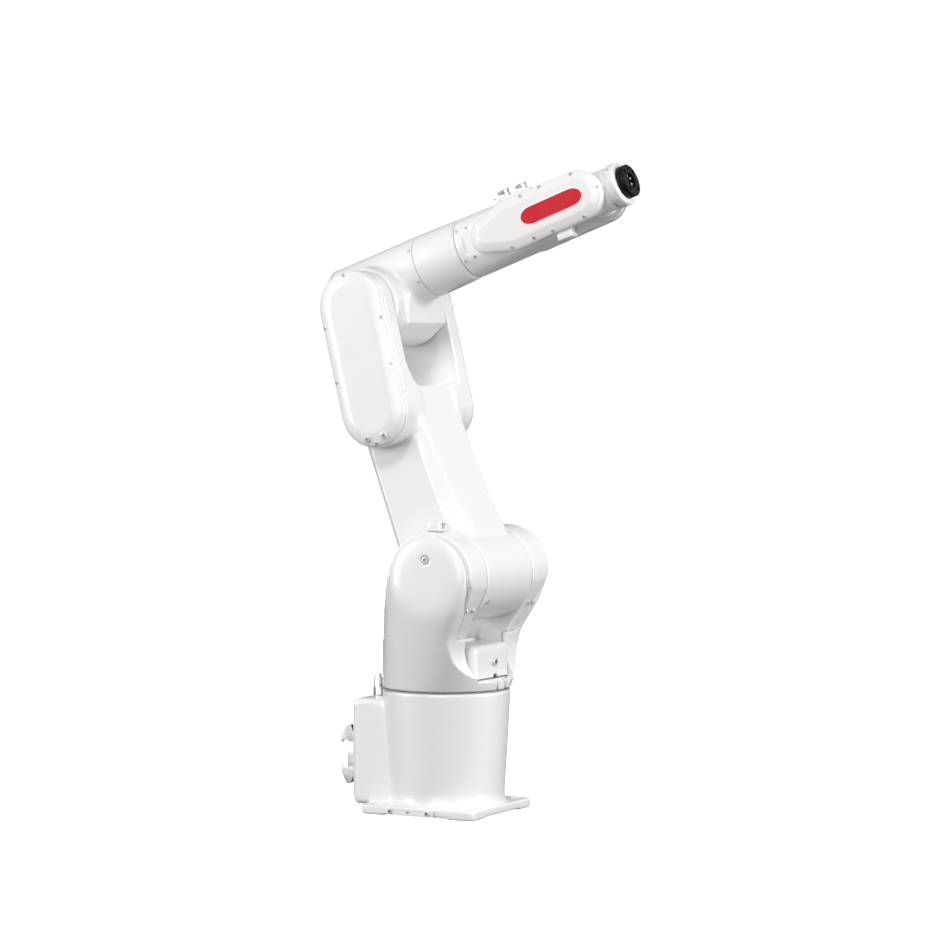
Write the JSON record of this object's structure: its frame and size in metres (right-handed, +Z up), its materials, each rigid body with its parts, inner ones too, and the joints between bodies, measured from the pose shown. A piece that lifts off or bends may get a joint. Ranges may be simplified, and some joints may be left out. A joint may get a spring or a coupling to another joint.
{
  "type": "six-axis robot arm",
  "caption": "White articulated robot arm on a bolt-down base, with a leaning lower arm, a raised forearm and a black tool flange.",
  "frame": {"origin": "where the first joint's axis meets the base's mounting face", "axes": "+Z up along the first axis, +X forwards, the way the tool points at rest, +Y to the arm's left"},
  "size_m": [0.5495, 0.3068, 1.0497],
  "materials": {
    "white_paint": "satin",
    "black_anodised": "matt",
    "steel": "brushed",
    "grey_zinc": "matt",
    "motor_black": "satin",
    "brass_nickel": "polished",
    "rubber": "matt"
  },
  "bodies": {
    "base": {"base_housing": "white_paint", "rear_panel": "white_paint", "connector_housing": "grey_zinc", "connector_insert": "motor_black", "air_inlet_right": "brass_nickel", "air_inlet_left": "brass_nickel", "base_side_plate": "white_paint", "j1_motor": "motor_black", "j1_gearbox": "grey_zinc", "j1_bearing_outer_ring": "steel"},
    "connector_lever_upper": {"connector_lever_upper": "steel"},
    "connector_lever_lower": {"connector_lever_lower": "steel"},
    "column": {"shoulder_casting": "white_paint", "shoulder_cover_right": "white_paint", "shoulder_cover_left": "white_paint", "j1_motor_cover": "white_paint", "j1_motor_cover_screw": "steel", "j1_turntable": "steel", "j1_stop_block": "white_paint", "shoulder_cover_screw_right": "steel", "shoulder_cover_screw_left": "steel", "j2_zero_mark_block": "white_paint", "j2_reducer": "grey_zinc", "j2_motor": "motor_black", "j2_bearing": "steel"},
    "lower_arm": {"lower_arm_casting": "white_paint", "elbow_cover_right": "white_paint", "elbow_cover_left": "white_paint", "j3_gearmotor": "motor_black", "j3_belt": "rubber", "j3_bearing_right": "steel", "j3_bearing_left": "steel", "elbow_cover_screw": "steel"},
    "j3_motor_pulley": {"j3_motor_pulley": "steel"},
    "elbow": {"elbow_casting": "white_paint", "j3_shaft_right": "steel", "j3_shaft_left": "steel", "elbow_rear_cover": "white_paint", "j4_motor": "motor_black", "j4_reducer": "grey_zinc", "j4_housing": "white_paint"},
    "forearm": {"forearm_casting": "white_paint", "forearm_cover_right": "white_paint", "forearm_cover_left": "white_paint", "j5_gearmotor": "motor_black", "j5_belt": "rubber", "j6_gearmotor": "motor_black", "air_port_block": "white_paint", "air_port_1": "brass_nickel", "air_port_2": "brass_nickel", "cable_bracket": "white_paint"},
    "j5_motor_pulley": {"j5_motor_pulley": "steel"},
    "wrist": {"wrist_housing": "white_paint", "wrist_ring": "white_paint", "j6_gearbox": "grey_zinc", "j5_shaft_right": "steel", "j5_shaft_left": "steel"},
    "tool_flange": {"tool_flange": "black_anodised"}
  },
  "joints": [
    {"name": "j1_base_turn", "type": "hinge", "parent": "base", "child": "column", "pos_m": [0, 0, 0], "axis": [0, 0, 1], "range_deg": [-170, 170]},
    {"name": "j2_shoulder", "type": "hinge", "parent": "column", "child": "lower_arm", "pos_m": [0.043, 0, 0.388], "axis": [0, 1, 0], "range_deg": [-65, 100]},
    {"name": "j3_elbow", "type": "hinge", "parent": "lower_arm", "child": "elbow", "pos_m": [-0.11055, 0, 0.82161], "axis": [0, 1, 0], "range_deg": [-140, 60]},
    {"name": "j4_forearm_roll", "type": "hinge", "parent": "elbow", "child": "forearm", "pos_m": [-0.12286, 0, 0.85544], "axis": [0.9397, 0, 0.342], "range_deg": [-190, 190]},
    {"name": "j5_wrist_bend", "type": "hinge", "parent": "forearm", "child": "wrist", "pos_m": [0.26429, 0, 0.99636], "axis": [0, 1, 0], "range_deg": [-115, 115]},
    {"name": "j6_flange_turn", "type": "hinge", "parent": "wrist", "child": "tool_flange", "pos_m": [0.26429, 0, 0.99636], "axis": [0.9397, 0, 0.342], "range_deg": [-360, 360]},
    {"name": "j3_pulley_spin", "type": "hinge", "parent": "lower_arm", "child": "j3_motor_pulley", "pos_m": [-0.07001, 0, 0.65499], "axis": [0, 1, 0], "range_deg": [-301, 130]},
    {"name": "j5_pulley_spin", "type": "hinge", "parent": "forearm", "child": "j5_motor_pulley", "pos_m": [0.17314, 0, 0.96318], "axis": [0, 1, 0], "range_deg": [-254, 254]},
    {"name": "lever_upper_swing", "type": "hinge", "parent": "base", "child": "connector_lever_upper", "pos_m": [-0.15, 0, 0.114], "axis": [0, 1, 0], "range_deg": [-32, 0]},
    {"name": "lever_lower_swing", "type": "hinge", "parent": "base", "child": "connector_lever_lower", "pos_m": [-0.15, 0, 0.062], "axis": [0, 1, 0], "range_deg": [0, 32]}
  ],
  "couplings": [
    {"joint": "j3_pulley_spin", "follows": "j3_elbow", "ratio": 2.1429},
    {"joint": "j5_pulley_spin", "follows": "j5_wrist_bend", "ratio": 2.2}
  ]
}
